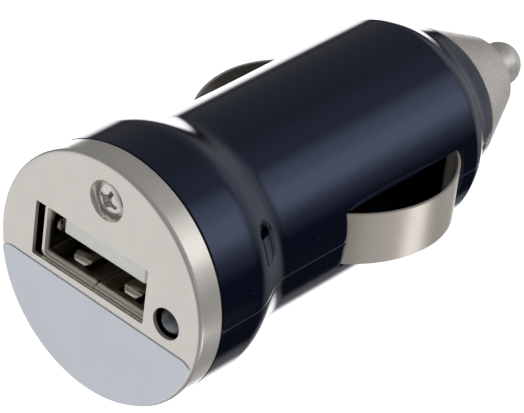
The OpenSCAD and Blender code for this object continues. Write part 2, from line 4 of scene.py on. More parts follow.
import bpy
from bpy.props import FloatProperty, FloatVectorProperty, PointerProperty
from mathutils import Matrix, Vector


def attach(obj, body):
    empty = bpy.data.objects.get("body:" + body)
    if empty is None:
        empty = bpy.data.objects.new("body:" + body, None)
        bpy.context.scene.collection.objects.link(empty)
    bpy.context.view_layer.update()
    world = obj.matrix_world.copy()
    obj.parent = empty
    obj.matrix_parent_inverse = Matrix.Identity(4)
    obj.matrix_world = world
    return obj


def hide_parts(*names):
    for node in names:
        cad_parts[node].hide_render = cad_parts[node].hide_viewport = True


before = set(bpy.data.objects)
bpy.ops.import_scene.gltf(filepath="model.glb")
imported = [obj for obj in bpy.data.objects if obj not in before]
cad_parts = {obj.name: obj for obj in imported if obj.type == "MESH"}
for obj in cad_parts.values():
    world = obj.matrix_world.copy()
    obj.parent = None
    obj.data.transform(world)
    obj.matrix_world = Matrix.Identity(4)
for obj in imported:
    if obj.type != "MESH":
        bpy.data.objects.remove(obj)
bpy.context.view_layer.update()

bl_info = {
    "name": "Car Charger Plug",
    "version": (1, 0, 0),
    "blender": (4, 5, 0),
    "location": "View3D > Sidebar > Plug",
    "description": "Builds a car charger plug with one USB port, piece by piece",
    "category": "Add Mesh",
}

MM = 0.001
# Points nearer to each other than this are one
WELD = 0.002 * MM

# All lengths below are in mm: stations are taken from the plug's face, radii and places
# across and above from its axis
MIDDLE = 28.515
AXIS = 12.2

ROUND_STEPS = 160
SMALL_ROUND_STEPS = 64
TINY_ROUND_STEPS = 48
# Faces that meet at a smaller angle than this are shaded as one
SMOOTH_BELOW = 42.0

CAP_RADIUS = 12.2
SCREW_ABOVE = 8.5
LIGHT_ACROSS = -8.2

PORT_ACROSS, PORT_ABOVE = 0.9, 1.2
# The springs of the port's floor and roof stand this far on either side of its middle
STAMP_ASIDE = 3.1
# The joint in the port's floor is this wide on either side of its middle
JOINT_ASIDE = 0.06
CONTACTS_ASIDE = (-3.5, -1, 1, 3.5)

SLOT_HALF = 3.05
STRIP_HALF = 2.75
STRIP_WALL = 0.3

# Window over each snap hook, as (station, height)
HOOK_WINDOW = (
    (9.3, 3.5), (9.3, 6.15), (9.6, 6.45), (10.2, 6.45),
    (10.9, 6.15), (11.15, 5.6), (11.1, 3.6), (10.3, 3.3),
)


# ---------------------------------------------------------------- sizes and colours


class PlugSizes(bpy.types.PropertyGroup):
    """Sizes that a user would change"""

    edge: FloatProperty(
        name="Moulded edge", description="Rounding of the plastic's edges",
        default=0.10 * MM, min=0.02 * MM, max=0.3 * MM, precision=5,
        subtype="DISTANCE", unit="LENGTH",
    )
    metal_edge: FloatProperty(
        name="Metal edge", description="Rounding of the sheet metal's edges",
        default=0.06 * MM, min=0.02 * MM, max=0.12 * MM, precision=5,
        subtype="DISTANCE", unit="LENGTH",
    )
    light_size: FloatProperty(
        name="Softbox size", description="Side of the square light beside the plug",
        default=0.22, min=0.05, max=1.0, subtype="DISTANCE", unit="LENGTH",
    )
    light_power: FloatProperty(
        name="Softbox power", description="Power of the square light",
        default=1.05, min=0.0, max=10.0, subtype="POWER", unit="POWER",
    )


def colour(label, text, rgb):
    """A colour that a user can change."""
    return FloatVectorProperty(
        name=label, description=text, default=rgb, min=0.0, max=1.0, size=3, subtype="COLOR")


class PlugColours(bpy.types.PropertyGroup):
    """Colours that a user would change"""

    cap: colour("Cap", "Pale metal of the face", (0.82, 0.785, 0.735))
    plastic: colour("Plastic", "Moulded body", (0.004, 0.006, 0.015))
    spring: colour("Spring strip", "Steel of the side springs", (0.78, 0.715, 0.645))
    cone: colour("Cone", "Metal of the nose ring", (0.76, 0.72, 0.67))
    pin: colour("Tip", "Metal of the sprung tip", (0.76, 0.73, 0.69))
    film: colour("Label", "Film on the face", (0.74, 0.79, 0.86))
    tongue: colour("Port tongue", "Plastic in the port", (0.82, 0.84, 0.775))


# ---------------------------------------------------------------- workbench


def at(x, y=0.0, z=0.0):
    """A place in the frame from mm along, across and above the axis."""
    return Vector(((x - MIDDLE) * MM, y * MM, (z + AXIS) * MM))


def along(length):
    """A push along the plug."""
    return Vector((length * MM, 0, 0))


def polar(x, y, r, a):
    """The point at distance r from (x, y), at a degrees from the second axis to the first."""
    return x + r * math.sin(math.radians(a)), y + r * math.cos(math.radians(a))


def arc(x, y, r, first, last, steps):
    """Points of an arc about (x, y) from one angle of polar to another."""
    return [polar(x, y, r, first + (last - first) * i / steps) for i in range(steps + 1)]


def rounded_outline(y, z, width, height, r):
    """A rectangle with round corners about (y, z)."""
    dy, dz = width / 2 - r, height / 2 - r
    outline = []
    for sy, sz, first in ((1, 1, 90), (-1, 1, 0), (-1, -1, -90), (1, -1, -180)):
        outline += arc(y + sy * dy, z + sz * dz, r, first, first - 90, 6)
    return outline


def clear():
    """Leaves edit mode and deselects everything."""
    if bpy.context.object and bpy.context.object.mode != "OBJECT":
        bpy.ops.object.mode_set(mode="OBJECT")
    bpy.ops.object.select_all(action="DESELECT")


def choose(*pieces):
    """Selects pieces, the first one active."""
    clear()
    for piece in pieces:
        piece.select_set(True)
    bpy.context.view_layer.objects.active = pieces[0]


def edit(piece):
    """Opens a piece in edit mode with all of it selected."""
    choose(piece)
    bpy.ops.object.mode_set(mode="EDIT")
    bpy.ops.mesh.select_all(action="SELECT")


def done():
    """Leaves edit mode and gives the piece back."""
    bpy.ops.object.mode_set(mode="OBJECT")
    return bpy.context.object


def named(name):
    """Names the active piece and its mesh."""
    piece = bpy.context.object
    piece.name = piece.data.name = name
    return piece


def settle(piece):
    """Puts the object's own axes at the origin and keeps its place in its mesh."""
    choose(piece)
    bpy.ops.object.transform_apply(location=True, rotation=True, scale=True)
    return piece


def right_way_out(piece):
    """Welds a piece and turns its faces outwards."""
    edit(piece)
    bpy.ops.mesh.remove_doubles(threshold=WELD)
    bpy.ops.mesh.normals_make_consistent(inside=False)
    return done()


def drawn(name, places):
    """A bent line through places: one point pulled out from each place to the next."""
    clear()
    bpy.ops.mesh.primitive_plane_add(size=MM)
    piece = named(name)
    edit(piece)
    bpy.ops.mesh.merge(type="CENTER")
    bpy.ops.transform.translate(value=places[0])
    for a, b in zip(places, places[1:]):
        bpy.ops.mesh.extrude_region_move(TRANSFORM_OT_translate={"value": b - a})
    done()
    return piece


def turned(name, profile, y=0.0, z=0.0, start=0.0, sweep=360.0, steps=ROUND_STEPS):
    """A profile of (station, radius) turned about a line along the plug, from +Y towards +Z."""
    side = math.radians(start)
    places = [at(x, y + r * math.cos(side), z + r * math.sin(side)) for x, r in profile]
    piece = drawn(name, places)
    edit(piece)
    bpy.ops.mesh.spin(steps=steps, angle=-math.radians(sweep), center=at(0, y, z), axis=(1, 0, 0))
    bpy.ops.mesh.select_all(action="SELECT")
    bpy.ops.mesh.remove_doubles(threshold=WELD)
    if sweep != 360.0:
        bpy.ops.mesh.fill_holes(sides=0)
    bpy.ops.mesh.select_all(action="SELECT")
    bpy.ops.mesh.normals_make_consistent(inside=False)
    done()
    return piece


def sheeted(name, outline, push):
    """A flat outline pulled out by push into a slab."""
    piece = drawn(name, outline + outline[:1])
    edit(piece)
    bpy.ops.mesh.remove_doubles(threshold=WELD)
    bpy.ops.mesh.edge_face_add()
    bpy.ops.mesh.extrude_region_move(TRANSFORM_OT_translate={"value": push})
    bpy.ops.mesh.select_all(action="SELECT")
    bpy.ops.mesh.normals_make_consistent(inside=False)
    done()
    return piece


def brick(name, low, high):
    """A block from its lowest corner to its highest."""
    clear()
    a, b = at(*low), at(*high)
    bpy.ops.mesh.primitive_cube_add(size=1, location=(a + b) / 2, scale=b - a)
    return settle(named(name))


def side_brick(name, side, low, high):
    """A block whose corners give distances from the axis, on one side of the plug."""
    near, far = sorted((side * low[1], side * high[1]))
    return brick(name, (low[0], near, low[2]), (high[0], far, high[2]))


def sector(name, section, low, high, side):
    """Slice of a ring from angle low to high above the seam, on one side."""
    if side < 0:
        low, high = 180 - high, 180 - low
    return turned(name, [*section, section[0]], start=low, sweep=high - low, steps=24)


def thicken(piece, wall, offset):
    """Gives a sheet its wall: offset 1 grows it along its normals, -1 against them."""
    choose(piece)
    mod = piece.modifiers.new("sheet", "SOLIDIFY")
    mod.thickness, mod.offset, mod.use_even_offset = wall * MM, offset, True
    bpy.ops.object.modifier_apply(modifier=mod.name)


def carve(piece, *cutters, how="DIFFERENCE"):
    """Takes cutters out of a piece, or adds them to it, and removes them."""
    for cutter in cutters:
        choose(piece)
        mod = piece.modifiers.new("carve", "BOOLEAN")
        mod.operation, mod.solver, mod.object = how, "EXACT", cutter
        bpy.ops.object.modifier_apply(modifier=mod.name)
        bpy.data.objects.remove(cutter, do_unlink=True)


def join(piece, *others):
    """Makes other meshes part of a piece."""
    choose(piece, *others)
    bpy.ops.object.join()


def across(piece, name):
    """A copy of a piece on the other side of the plug."""
    choose(piece)
    bpy.ops.object.duplicate()
    other = named(name)
    edit(other)
    bpy.ops.transform.resize(value=(1, -1, 1), center_override=(0, 0, 0))
    bpy.ops.mesh.normals_make_consistent(inside=False)
    done()
    return other


def soften(piece, width, segments=2, angle=32.0, clamp=True):
    """Rounds the edges that are sharper than angle, and shades the faces smooth."""
    choose(piece)
    if piece.data.has_custom_normals:
        bpy.ops.mesh.customdata_custom_splitnormals_clear()
    mod = piece.modifiers.new("edges", "BEVEL")
    mod.width, mod.segments = width, segments
    mod.limit_method, mod.angle_limit = "ANGLE", math.radians(angle)
    mod.use_clamp_overlap = clamp
    mod.miter_outer = "MITER_ARC"
    bpy.ops.object.modifier_apply(modifier=mod.name)
    bpy.ops.object.shade_smooth_by_angle(angle=math.radians(SMOOTH_BELOW))
    mod = piece.modifiers.new("normals", "WEIGHTED_NORMAL")
    mod.keep_sharp = True
    bpy.ops.object.modifier_apply(modifier=mod.name)


def place(piece, body, node, material):
    """Gives a piece its finish, and puts it on its body in its node's stead."""
    piece.data.materials.clear()
    piece.data.materials.append(material)
    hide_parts(node)
    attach(piece, body)


# ---------------------------------------------------------------- materials


class Nodes:
    """A node tree that is built up node by node."""

    def __init__(self, tree):
        self.tree = tree
        tree.nodes.clear()

    def add(self, kind, **values):
        node = self.tree.nodes.new(kind)
        for key, value in values.items():
            setattr(node, key, value)
        return node

    def link(self, a, b):
        self.tree.links.new(a, b)

    def feed(self, socket, value):
        """Gives a socket another one's value, or a plain one."""
        if isinstance(value, bpy.types.NodeSocket):
            self.link(value, socket)
        else:
            socket.default_value = value

    def spread(self, value, low, high, start=0.3, end=0.7, curve="LINEAR"):
        """Turns start to end into low to high."""
        node = self.add("ShaderNodeMapRange", interpolation_type=curve)
        ends = {"From Min": start, "From Max": end, "To Min": low, "To Max": high}
        for key, number in ends.items():
            node.inputs[key].default_value = number
        self.link(value, node.inputs["Value"])
        return node.outputs["Result"]

    def count(self, operation, a, b=0.0):
        node = self.add("ShaderNodeMath", operation=operation)
        self.link(a, node.inputs[0])
        self.feed(node.inputs[1], b)
        return node.outputs[0]

    def away(self, value, middle):
        """How far a value is from a middle, either way."""
        return self.count("ABSOLUTE", self.count("SUBTRACT", value, middle))

    def towards(self, vector, direction):
        """How far a vector reaches in a direction."""
        node = self.add("ShaderNodeVectorMath", operation="DOT_PRODUCT")
        node.inputs[1].default_value = direction
        self.link(vector, node.inputs[0])
        return node.outputs["Value"]

    def part(self, vector, axis):
        """One of a vector's three numbers."""
        node = self.add("ShaderNodeSeparateXYZ")
        self.link(vector, node.inputs[0])
        return node.outputs[axis]


class Finish(Nodes):
    """A Principled material; lengths are in mm."""

    def __init__(self, name, base, metallic=0.0, roughness=0.4, coat=0.0, ior=1.5):
        self.mat = bpy.data.materials.new(name)
        self.mat.use_nodes = True
        super().__init__(self.mat.node_tree)
        out = self.add("ShaderNodeOutputMaterial")
        self.shader = self.add("ShaderNodeBsdfPrincipled")
        self.link(self.shader.outputs[0], out.inputs["Surface"])
        self.set("Base Color", (*base, 1.0))
        self.set("Metallic", metallic)
        self.set("Roughness", roughness)
        self.set("IOR", ior)
        self.set("Coat Weight", coat)
        self.set("Coat Roughness", 0.05)
        self.coords = self.add("ShaderNodeTexCoord").outputs["Object"]
        self.normal = None

    def set(self, socket, value):
        self.shader.inputs[socket].default_value = value

    def noise(self, size, stretch=(1, 1, 1), detail=3.0, rough=0.55):
        """Noise whose features are about size, drawn out by stretch."""
        mapping = self.add("ShaderNodeMapping")
        mapping.inputs["Scale"].default_value = [1 / (size * MM * s) for s in stretch]
        node = self.add("ShaderNodeTexNoise")
        node.inputs["Scale"].default_value = 1.0
        node.inputs["Detail"].default_value = detail
        node.inputs["Roughness"].default_value = rough
        self.link(self.coords, mapping.inputs["Vector"])
        self.link(mapping.outputs[0], node.inputs["Vector"])
        return node.outputs["Fac"]

    def blend(self, factor, a, b):
        node = self.add("ShaderNodeMix", data_type="RGBA")
        for key, value in (("A", a), ("B", b)):
            linked = isinstance(value, bpy.types.NodeSocket)
            self.feed(node.inputs[key], value if linked else (*value, 1.0))
        self.link(factor, node.inputs["Factor"])
        return node.outputs["Result"]

    def tint(self, factor, a, b):
        self.link(self.blend(factor, a, b), self.shader.inputs["Base Color"])

    def rough(self, value):
        self.link(value, self.shader.inputs["Roughness"])

    def bump(self, height, depth, strength=1.0):
        """Relief whose full height is depth."""
        node = self.add("ShaderNodeBump")
        node.inputs["Strength"].default_value = strength
        node.inputs["Distance"].default_value = depth * MM
        self.link(height, node.inputs["Height"])
        if self.normal:
            self.link(self.normal, node.inputs["Normal"])
        self.normal = node.outputs["Normal"]
        self.link(self.normal, self.shader.inputs["Normal"])


def shade(rgb, factor):
    """A colour made lighter or darker."""
    return tuple(min(1.0, c * factor) for c in rgb)


def cap_finish(rgb):
    """Pale plated metal with a fine satin grain."""
    f = Finish("cap_metal_satin", rgb, metallic=0.6, roughness=0.20)
    grain = f.noise(0.14, detail=3.0)
    cloud = f.noise(2.6, detail=4.0)
    satin = f.blend(f.spread(cloud, 0.0, 1.0), shade(rgb, 0.96), shade(rgb, 1.02))
    f.tint(f.spread(grain, 0.0, 0.5), satin, shade(rgb, 1.12))
    f.rough(f.spread(cloud, 0.18, 0.24))
    f.bump(grain, 0.003, 0.6)
    return f.mat


def plastic_finish(rgb):
    """Near-black moulded plastic: glossy, a little wavy, with fine dust and a painted highlight
    along the seam.
    """
    f = Finish("body_plastic_gloss", rgb, roughness=0.17, ior=1.5)
    f.set("Specular IOR Level", 1.0)
    f.set("Specular Tint", (0.50, 0.62, 1.0, 1.0))
    wave = f.noise(3.2, detail=1.0)
    fine = f.noise(0.12, detail=2.0)
    dust = f.noise(0.22, detail=0.0)
    specks = f.spread(dust, 0.0, 1.0, 0.82, 0.86)
    # The halves' edges along the seam are painted paler: a painted highlight of the rounded seam
    # edges
    off_seam = f.away(f.part(f.coords, "Z"), AXIS * MM)
    seam = f.spread(off_seam, 1.0, 0.0, 0.06 * MM, 0.09 * MM)
    f.tint(specks, f.blend(seam, rgb, (0.035, 0.045, 0.07)), (0.035, 0.04, 0.05))
    f.rough(f.spread(fine, 0.10, 0.13))
    f.bump(wave, 0.004, 0.5)
    f.bump(fine, 0.0006, 0.6)
    return f.mat


def strip_finish(rgb):
    """Rolled spring steel with a faint grain along the strip."""
    f = Finish("spring_steel_rolled", rgb, metallic=0.6, roughness=0.28)
    lines = f.noise(0.12, stretch=(8, 8, 1), detail=2.0)
    stain = f.noise(1.6, stretch=(1, 1, 2), detail=2.0)
    brushed = f.blend(f.spread(lines, 0.0, 1.0), shade(rgb, 0.97), shade(rgb, 1.03))
    f.tint(f.spread(stain, 0.0, 0.4), brushed, shade(rgb, 0.90))
    f.rough(f.spread(lines, 0.28, 0.30))
    f.bump(stain, 0.002, 0.2)
    return f.mat


def cone_finish(rgb):
    """Turned metal, satin and a little mottled."""
    f = Finish("cone_metal_satin", rgb, metallic=0.65, roughness=0.36)
    mottle = f.noise(0.5, detail=5.0, rough=0.65)
    grain = f.noise(0.08, detail=2.0)
    f.tint(f.spread(mottle, 0.0, 1.0), shade(rgb, 0.84), shade(rgb, 1.12))
    f.rough(f.spread(mottle, 0.32, 0.42))
    f.bump(grain, 0.001, 0.4)
    return f.mat


def pin_finish(rgb):
    """Turned metal with faint rings."""
    f = Finish("tip_metal_turned", rgb, metallic=0.6, roughness=0.30)
    rings = f.noise(0.07, stretch=(1, 60, 60), detail=2.0)
    mottle = f.noise(0.8, detail=4.0)
    f.tint(f.spread(mottle, 0.0, 1.0), shade(rgb, 0.90), shade(rgb, 1.08))
    f.rough(f.spread(rings, 0.28, 0.36))
    f.bump(rings, 0.0015, 0.6)
    return f.mat


def screw_finish():
    """Plated screw, bright with small scuffs."""
    f = Finish("screw_plated", (0.72, 0.70, 0.67), metallic=0.9, roughness=0.18)
    scuff = f.noise(0.25, detail=4.0, rough=0.7)
    f.tint(f.spread(scuff, 0.0, 1.0), (0.70, 0.68, 0.65), (0.92, 0.90, 0.86))
    f.rough(f.spread(scuff, 0.12, 0.24))
    f.bump(scuff, 0.003, 0.4)
    return f.mat


def film_finish(rgb):
    """Printed film left plain, with the soft sheen of a lacquered label."""
    f = Finish("label_film_plain", rgb, roughness=0.32, ior=1.45)
    cloud = f.noise(3.0, detail=3.0)
    grain = f.noise(0.1, detail=2.0)
    f.tint(f.spread(cloud, 0.0, 1.0), shade(rgb, 0.97), shade(rgb, 1.02))
    f.rough(f.spread(grain, 0.28, 0.38))
    f.bump(grain, 0.0008, 0.5)
    return f.mat


def lens_finish():
    """Smoky diffusing plastic of the status light, painted lighter low and on the right as a
    painted glow.
    """
    f = Finish("lens_smoky", (0.055, 0.065, 0.075), roughness=0.10, ior=1.5)
    haze = f.noise(0.5, detail=2.0)
    # Painted glow: the lens is painted lighter low and on the right, where light gathers away from
    # its source
    slant = f.towards(f.coords, (0, -0.7, -0.7))
    painted_glow = f.spread(slant, 0.0, 1.0, -3.0 * MM, -1.6 * MM)
    dark = f.blend(f.spread(haze, 0.0, 1.0), (0.035, 0.042, 0.052), (0.05, 0.06, 0.072))
    f.tint(painted_glow, dark, (0.24, 0.27, 0.30))
    f.rough(f.spread(haze, 0.06, 0.12))
    return f.mat


def port_finish():
    """Tinned sheet steel of the port's shell, with painted shade inside and painted light on its
    front edge and the springs' crests.
    """
    rgb = (0.62, 0.555, 0.47)
    f = Finish("port_steel_tinned", rgb, metallic=1.0, roughness=0.22)
    lines = f.noise(0.08, stretch=(12, 1, 1), detail=2.0)
    stain = f.noise(1.2, detail=3.0)
    station, across = f.part(f.coords, "X"), f.part(f.coords, "Y")
    # The rolled front edge is painted bright and less metallic: painted light where light falls in
    # at the mouth
    front = f.spread(station, 1.0, 0.0, (0.9 - MIDDLE) * MM, (1.25 - MIDDLE) * MM)
    # The springs' crests are painted lighter, a painted highlight where light falls on them; the
    # floor beside them keeps the painted shade
    behind = f.spread(station, 0.0, 1.0, (1.5 - MIDDLE) * MM, (1.7 - MIDDLE) * MM)
    aside = f.away(f.away(across, PORT_ACROSS * MM), STAMP_ASIDE * MM)
    crest = f.count("MULTIPLY", behind, f.spread(aside, 1.0, 0.0, 1.15 * MM, 1.25 * MM))
    # The sheet is painted at half to two thirds of its colour: painted shade inside the port, with
    # random stains
    sheet = f.blend(f.spread(stain, 0.0, 1.0), shade(rgb, 0.50), shade(rgb, 0.66))
    sheet = f.blend(crest, sheet, shade(rgb, 1.15))
    f.tint(front, sheet, (0.90, 0.85, 0.76))
    f.link(f.spread(front, 1.0, 0.4, 0.0, 1.0), f.shader.inputs["Metallic"])
    f.rough(f.spread(lines, 0.20, 0.25))
    f.bump(lines, 0.0002, 0.2)
    return f.mat


def tongue_finish(rgb):
    """Pale moulded plastic in the port."""
    f = Finish("tongue_plastic_pale", rgb, roughness=0.45)
    cloud = f.noise(1.5, detail=3.0)
    grain = f.noise(0.08, detail=2.0)
    f.tint(f.spread(cloud, 0.0, 1.0), shade(rgb, 0.94), shade(rgb, 1.04))
    f.rough(f.spread(grain, 0.38, 0.52))
    f.bump(grain, 0.0015, 0.5)
    return f.mat


def mould_finish(name, rgb, roughness, speck=0.15):
    """Small moulded or fired parts: matt with a fine grain."""
    f = Finish(name, rgb, roughness=roughness)
    grain = f.noise(speck, detail=3.0)
    f.tint(f.spread(grain, 0.0, 1.0), shade(rgb, 0.85), shade(rgb, 1.15))
    f.rough(f.spread(grain, roughness - 0.07, roughness + 0.07))
    f.bump(grain, 0.004, 0.5)
    return f.mat


def plated_finish(name, rgb, roughness, stretch=(1, 1, 1)):
    """Small bright metal parts with fine lines."""
    f = Finish(name, rgb, metallic=1.0, roughness=roughness)
    lines = f.noise(0.08, stretch=stretch, detail=3.0)
    f.tint(f.spread(lines, 0.0, 1.0), shade(rgb, 0.90), shade(rgb, 1.06))
    f.rough(f.spread(lines, roughness - 0.06, roughness + 0.08))
    f.bump(lines, 0.0015, 0.5)
    return f.mat


def board_finish():
    """Near-black solder mask over the weave of the laminate."""
    rgb = (0.006, 0.012, 0.009)
    f = Finish("board_laminate_dark", rgb, roughness=0.35)
    weave = f.noise(0.4, stretch=(1, 1, 4), detail=1.0)
    f.tint(f.spread(weave, 0.0, 1.0), shade(rgb, 0.8), shade(rgb, 1.3))
    f.rough(f.spread(weave, 0.30, 0.42))
    f.bump(weave, 0.004, 0.5)
    return f.mat


def sleeve_finish():
    """Shrunk plastic sleeve of the capacitors."""
    rgb = (0.02, 0.03, 0.09)
    f = Finish("can_sleeve_blue", rgb, roughness=0.28, coat=0.3)
    wrinkle = f.noise(1.2, stretch=(1, 3, 3), detail=2.0)
    f.tint(f.spread(wrinkle, 0.0, 1.0), shade(rgb, 0.8), shade(rgb, 1.3))
    f.rough(f.spread(wrinkle, 0.28, 0.40))
    f.bump(wrinkle, 0.01, 0.4)
    return f.mat


# ---------------------------------------------------------------- pieces


def settings():
    """The sizes and colours that the panel shows."""
    return bpy.context.scene.plug_sizes, bpy.context.scene.plug_colours


class PLUG_OT_face_cap(bpy.types.Operator):
    """Drawn metal cup of the face with the port's mouth, the light's hole and the screw's dimple"""

    bl_idname = "plug.face_cap"
    bl_label = "Face cap"

    def execute(self, context):
        sizes, colours = settings()
        inside, bend = CAP_RADIUS - 0.5, 0.45
        rim = arc(bend, CAP_RADIUS - bend, bend, -90, 0, 6)
        cup = turned("drawn_cap", [(0, 0), *rim, (2.75, CAP_RADIUS), (2.75, inside),
                                   (0.4, inside), (0.4, 0)])
        soften(cup, sizes.metal_edge, angle=40)
        # The dimple is pressed in from the front, so its wall shows behind the face
        dimple = turned("dimple", [(0.2, 0), (0.2, 2.4), (1.3, 2.4), (1.3, 0)],
                        z=SCREW_ABOVE, steps=SMALL_ROUND_STEPS)
        carve(cup, dimple, how="UNION")
        sink = turned("sink", [(-0.2, 0), (-0.2, 2.1), (0, 2.0), (0.9, 1.7), (0.9, 1.1),
                               (1.6, 1.1), (1.6, 0)], z=SCREW_ABOVE, steps=SMALL_ROUND_STEPS)
        outline = rounded_outline(1.3, 1.275, 13.7, 5.75, 0.2)
        mouth = sheeted("mouth", [at(-0.5, y, z) for y, z in outline], along(1.5))
        hole = turned("light_hole", [(-0.5, 0), (-0.5, 1.55), (1, 1.55), (1, 0)],
                      y=LIGHT_ACROSS, steps=TINY_ROUND_STEPS)
        carve(cup, sink, mouth, hole)
        right_way_out(cup)
        soften(cup, sizes.metal_edge, angle=40)
        place(cup, "plug", "face_cap", cap_finish(colours.cap))
        return {"FINISHED"}


class PLUG_OT_cap_screw(bpy.types.Operator):
    """Screw with a domed head and a cross recess"""

    bl_idname = "plug.cap_screw"
    bl_label = "Cap screw"

    def execute(self, context):
        ball, sunk = 2.8, 0.03
        dome = [(sunk + ball - math.sqrt(ball ** 2 - r * r), r)
                for r in (0, 0.3, 0.6, 0.9, 1.15, 1.35, 1.5)]
        screw = turned("cross_screw", [*dome, (0.56, 1.58), (0.9, 1.58), (0.9, 1.0), (6.9, 1.0),
                                       (7.9, 0.3), (7.9, 0)],
                       z=SCREW_ABOVE, steps=SMALL_ROUND_STEPS)
        # Two long slots make the cross, and two short ones widen its middle
        for turn, wide, long in ((20, 0.46, 2.1), (110, 0.46, 2.1),
                                 (65, 0.5, 1.2), (155, 0.5, 1.2)):
            clear()
            bpy.ops.mesh.primitive_cube_add(
                size=1, location=at(0.2, 0, SCREW_ABOVE), rotation=(math.radians(turn), 0, 0),
                scale=(1.2 * MM, wide * MM, long * MM))
            carve(screw, settle(named("recess")))
        right_way_out(screw)
        soften(screw, 0.05 * MM, angle=40)
        place(screw, "plug", "cap_screw", screw_finish())
        return {"FINISHED"}


class PLUG_OT_rating_label(bpy.types.Operator):
    """Film on the lower part of the face, left without print"""

    bl_idname = "plug.rating_label"
    bl_label = "Rating label"

    def execute(self, context):
        colours = settings()[1]
        # The film follows the cap's edge; its straight top has round corners and is a little askew
        radius, top, askew = 11.95, -2.4, math.radians(1.15)
        c, reach, lean = 1.6, 10.4, 47.85
        y, z = polar(reach, top - c, c, lean)
        half = math.degrees(math.atan2(y, -z))
        outline = arc(0, 0, radius, 180 - half, 180 + half, 72)
        outline += arc(-reach, top - c, c, -lean, 0, 6)[1:]
        outline += arc(reach, top - c, c, 0, lean, 6)[:-1]
        cos, sin = math.cos(askew), math.sin(askew)
        outline = [(y * cos - z * sin, y * sin + z * cos) for y, z in outline]
        film = sheeted("label_film", [at(0, y, z) for y, z in outline], along(-0.12))
        soften(film, 0.03 * MM, angle=40)
        place(film, "plug", "rating_label", film_finish(colours.film))
        return {"FINISHED"}


class PLUG_OT_status_light(bpy.types.Operator):
    """Domed lens of the status light with its foot and leads"""

    bl_idname = "plug.status_light"
    bl_label = "Status light"

    def execute(self, context):
        radius, foot = 1.42, 1.58
        dome = arc(radius, 0, radius, -90, 0, 15)
        lens = turned("light_lens", [*dome, (4.25, radius), (4.25, foot), (5.25, foot), (5.25, 0)],
                      y=LIGHT_ACROSS, steps=SMALL_ROUND_STEPS)
        leads = []
        for side in (-1, 1):
            y = LIGHT_ACROSS + side * 0.635
            for start, low in ((5.2, -0.25), (6.75, -3.45)):
                leads.append(brick("lead", (start, y - 0.25, low), (7.25, y + 0.25, 0.25)))
        join(lens, *leads)
        soften(lens, 0.03 * MM, angle=60)
        place(lens, "plug", "status_led", lens_finish())
        return {"FINISHED"}


class PLUG_OT_port(bpy.types.Operator):
    """Folded metal shell of the port with its stamped springs and legs"""

    bl_idname = "plug.port"
    bl_label = "Port shell"

    def execute(self, context):
        y0, z0 = PORT_ACROSS, PORT_ABOVE
        outline = [at(0.5, y, z) for y, z in rounded_outline(y0, z0, 13.1, 5.7, 0.6)]
        shell = drawn("port_shell", outline + outline[:1])
        edit(shell)
        bpy.ops.mesh.remove_doubles(threshold=WELD)
        bpy.ops.mesh.extrude_region_move(TRANSFORM_OT_translate={"value": along(13.5)})
        bpy.ops.mesh.select_all(action="SELECT")
        bpy.ops.mesh.normals_make_consistent(inside=False)
        done()
        thicken(shell, 0.3, -1)
        # Each spring is stamped out of a window in its wall
        front, back = 1.5, 6.9
        cutters = []
        for side in (-1, 1):
            y = y0 + side * STAMP_ASIDE
            for low in (z0 - 3.2, z0 + 2.2):
                cutters.append(brick("window", (front, y - 1.4, low), (back, y + 1.4, low + 1)))
            y = y0 + side * 6.4
            cutters.append(brick("window", (front, y - 0.6, z0 - 1.2), (back, y + 0.6, z0 + 1.2)))
        cutters.append(brick("joint", (0.3, y0 - JOINT_ASIDE, z0 - 3.2),
                             (14.3, y0 + JOINT_ASIDE, z0 - 2.2)))
        carve(shell, *cutters)
        right_way_out(shell)
        extras = []
        for side in (-1, 1):
            for turn in (0, 180):
                extras.append(self.spring(2.1, 2.85, turn, side * STAMP_ASIDE))
            extras.append(self.spring(1.5, 6.55, side * 90, 0))
            y = y0 + side * 6.4
            for x in (4.7, 10.6):
                extras.append(brick("leg", (x, y - 0.15, -3.45), (x + 1.2, y + 0.15, -0.45)))
        # The floor's front edge is rolled over, with the joint in its middle
        roll = [(1.6, -1.62), (1.6, -1.2), (1.1, -1.2)]
        roll += [(1.1 - 0.5 * math.sin(a), -1.62 + 0.42 * math.cos(a))
                 for a in map(math.radians, range(10, 91, 10))]
        for low, high in ((-5.3, y0 - 2 * JOINT_ASIDE), (y0 + 2 * JOINT_ASIDE, 7.1)):
            extras.append(sheeted("lip", [at(x, low, z) for x, z in roll],
                                  Vector((0, (high - low) * MM, 0))))
        join(shell, *extras)
        soften(shell, 0.05 * MM, angle=40)
        place(shell, "plug", "usb_shell", port_finish())
        return {"FINISHED"}

    def spring(self, width, wall, turn, shift):
        """Spring of the shell's own sheet, bowed inwards; turn says which wall it stands in."""
        cos, sin = math.cos(math.radians(turn)), math.sin(math.radians(turn))

        def put(x, side, inward):
            out = inward - wall
            return at(x, PORT_ACROSS + side * cos - out * sin, PORT_ABOVE + side * sin + out * cos)

        def reach(side, inward):
            return put(0, side, inward) - put(0, 0, 0)

        bow = ((7.4, 0.0), (3.3, 0.52), (3.0, 0.6), (2.7, 0.62),
               (2.4, 0.56), (2.15, 0.4), (1.95, 0.15))
        strip = drawn("spring", [put(x, shift - width / 2, inward + 0.15) for x, inward in bow])
        edit(strip)
        bpy.ops.mesh.extrude_region_move(TRANSFORM_OT_translate={"value": reach(width, 0)})
        done()
        thicken(strip, 0.28, 0)
        # The end's corners are rounded off
        for edge in (-1, 1):
            middle = shift + edge * (width / 2 - 0.5)
            beside = middle + edge * 0.7
            tip = [(1.7, beside), *arc(2.4, middle, 0.5, -90, -90 + edge * 90, 6), (2.4, beside)]
            carve(strip, sheeted("corner", [put(x, side, -0.5) for x, side in tip], reach(0, 2.0)))
        return right_way_out(strip)


